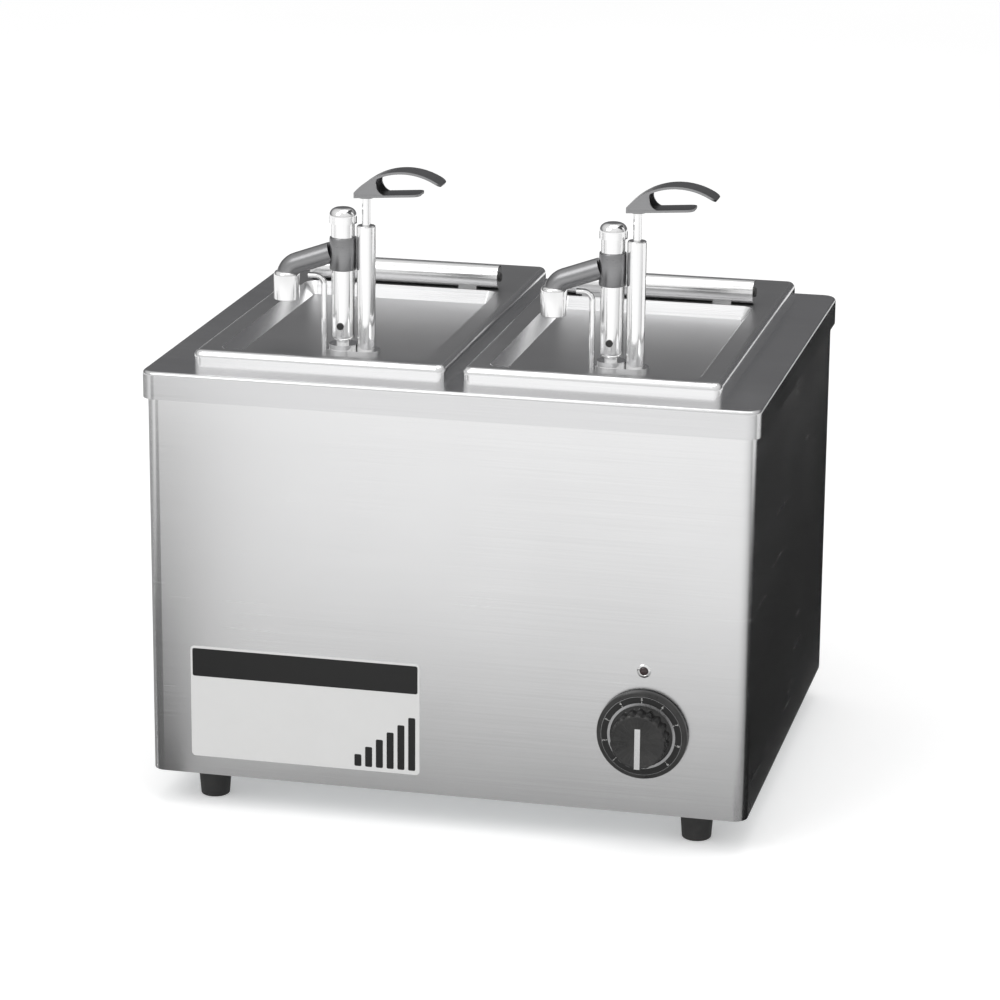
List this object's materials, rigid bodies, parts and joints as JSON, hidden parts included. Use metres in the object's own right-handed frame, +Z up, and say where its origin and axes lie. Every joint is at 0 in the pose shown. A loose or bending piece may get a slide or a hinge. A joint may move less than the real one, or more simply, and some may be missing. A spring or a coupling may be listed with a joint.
{
  "type": "countertop food pan warmer",
  "caption": "Heated stainless countertop cabinet with third-size food pans under lift-off lids, each lid carrying a hand pump with a swivelling spout.",
  "frame": {"origin": "middle of the whole unit's outline, dial included, at the level of the counter that the feet stand on", "axes": "+Z up, front panel with the dial faces -Y, +X to the right seen from the front"},
  "size_m": [0.445, 0.386, 0.4655],
  "materials": {
    "cabinet_steel": "brushed stainless sheet",
    "deck_steel": "satin stainless sheet",
    "pan_steel": "polished stainless",
    "lid_steel": "polished stainless",
    "pump_steel": "mirror polished stainless",
    "arm_steel": "dark satin",
    "galvanised": "zinc-coated sheet",
    "screw_steel": "zinc-plated",
    "black_screw": "black oxide",
    "element_sheath": "heat-darkened sheath",
    "mineral_wool": "matt wool",
    "thermostat_case": "moulded phenolic",
    "copper_bulb": "bare copper",
    "dial_black": "satin black",
    "dial_metal": "brushed",
    "pointer_metal": "bright",
    "lens": "tinted gloss",
    "lamp_case": "moulded",
    "plate_face": "printed plate, black and white bands",
    "rubber_foot": "matt",
    "gland_black": "moulded",
    "terminal_plastic": "moulded",
    "wire_sleeve": "silicone sleeve",
    "seal_white": "turned polymer"
  },
  "bodies": {
    "cabinet": {"deck_top": "deck_steel", "body_wrap": "cabinet_steel", "rear_panel": "cabinet_steel", "base_plate": "galvanised", "cabinet_screws": "screw_steel", "feet": "rubber_foot", "insulation": "mineral_wool", "element_straps": "galvanised", "thermostat": "thermostat_case", "thermostat_bulb": "copper_bulb", "lamp_lens": "lens", "lamp_body": "lamp_case", "front_plate": "plate_face", "cord_gland": "gland_black", "terminal_block": "terminal_plastic", "wiring": "wire_sleeve", "left_well": "pan_steel", "right_well": "pan_steel", "left_element": "element_sheath", "right_element": "element_sheath"},
    "dial": {"dial_knob": "dial_black", "dial_pointer": "pointer_metal", "dial_scale": "dial_metal", "dial_shaft": "screw_steel"},
    "left_pan": {"left_pan": "pan_steel"},
    "left_lid": {"left_lid": "lid_steel", "left_lid_rail": "lid_steel", "left_lid_plugs": "black_screw", "left_pump_flange": "pump_steel", "left_discharge_post": "pump_steel", "left_post_cap": "pump_steel", "left_riser_tube": "pump_steel", "left_riser_bush": "pump_steel", "left_pump_barrel": "pump_steel", "left_pump_foot": "pump_steel", "left_return_spring": "pump_steel", "left_vent_tube": "pump_steel"},
    "left_plunger": {"left_plunger_rod": "pump_steel", "left_piston": "seal_white", "left_pump_lever": "arm_steel"},
    "left_spout": {"left_spout": "arm_steel"},
    "left_ball": {"left_inlet_ball": "pump_steel"},
    "right_pan": {"right_pan": "pan_steel"},
    "right_lid": {"right_lid": "lid_steel", "right_lid_rail": "lid_steel", "right_lid_plugs": "black_screw", "right_pump_flange": "pump_steel", "right_discharge_post": "pump_steel", "right_post_cap": "pump_steel", "right_riser_tube": "pump_steel", "right_riser_bush": "pump_steel", "right_pump_barrel": "pump_steel", "right_pump_foot": "pump_steel", "right_return_spring": "pump_steel", "right_vent_tube": "pump_steel"},
    "right_plunger": {"right_plunger_rod": "pump_steel", "right_piston": "seal_white", "right_pump_lever": "arm_steel"},
    "right_spout": {"right_spout": "arm_steel"},
    "right_ball": {"right_inlet_ball": "pump_steel"}
  },
  "joints": [
    {"name": "dial_turn", "type": "hinge", "parent": "cabinet", "child": "dial", "pos_m": [0.145, -0.172, 0.0855], "axis": [0, 1, 0], "range_deg": [0, 270]},
    {"name": "left_pan_lift", "type": "slide", "parent": "cabinet", "child": "left_pan", "axis": [0, 0, 1], "range_m": [0, 0.18]},
    {"name": "left_lid_lift", "type": "slide", "parent": "left_pan", "child": "left_lid", "axis": [0, 0, 1], "range_m": [0, 0.16]},
    {"name": "left_plunger_press", "type": "slide", "parent": "left_lid", "child": "left_plunger", "axis": [0, 0, -1], "range_m": [0, 0.018], "stiffness_N_per_m": 450, "springref_m": -0.02, "deforming": ["left_return_spring"]},
    {"name": "left_spout_swivel", "type": "hinge", "parent": "left_lid", "child": "left_spout", "pos_m": [-0.092, -0.103, 0.403], "axis": [0, 0, 1], "range_deg": [-45, 90]},
    {"name": "left_ball_lift", "type": "slide", "parent": "left_lid", "child": "left_ball", "axis": [0, 0, 1], "range_m": [0, 0.003]},
    {"name": "right_pan_lift", "type": "slide", "parent": "cabinet", "child": "right_pan", "axis": [0, 0, 1], "range_m": [0, 0.18]},
    {"name": "right_lid_lift", "type": "slide", "parent": "right_pan", "child": "right_lid", "axis": [0, 0, 1], "range_m": [0, 0.16]},
    {"name": "right_plunger_press", "type": "slide", "parent": "right_lid", "child": "right_plunger", "axis": [0, 0, -1], "range_m": [0, 0.018], "stiffness_N_per_m": 450, "springref_m": -0.02, "deforming": ["right_return_spring"]},
    {"name": "right_spout_swivel", "type": "hinge", "parent": "right_lid", "child": "right_spout", "pos_m": [0.104, -0.103, 0.403], "axis": [0, 0, 1], "range_deg": [-45, 90]},
    {"name": "right_ball_lift", "type": "slide", "parent": "right_lid", "child": "right_ball", "axis": [0, 0, 1], "range_m": [0, 0.003]}
  ]
}
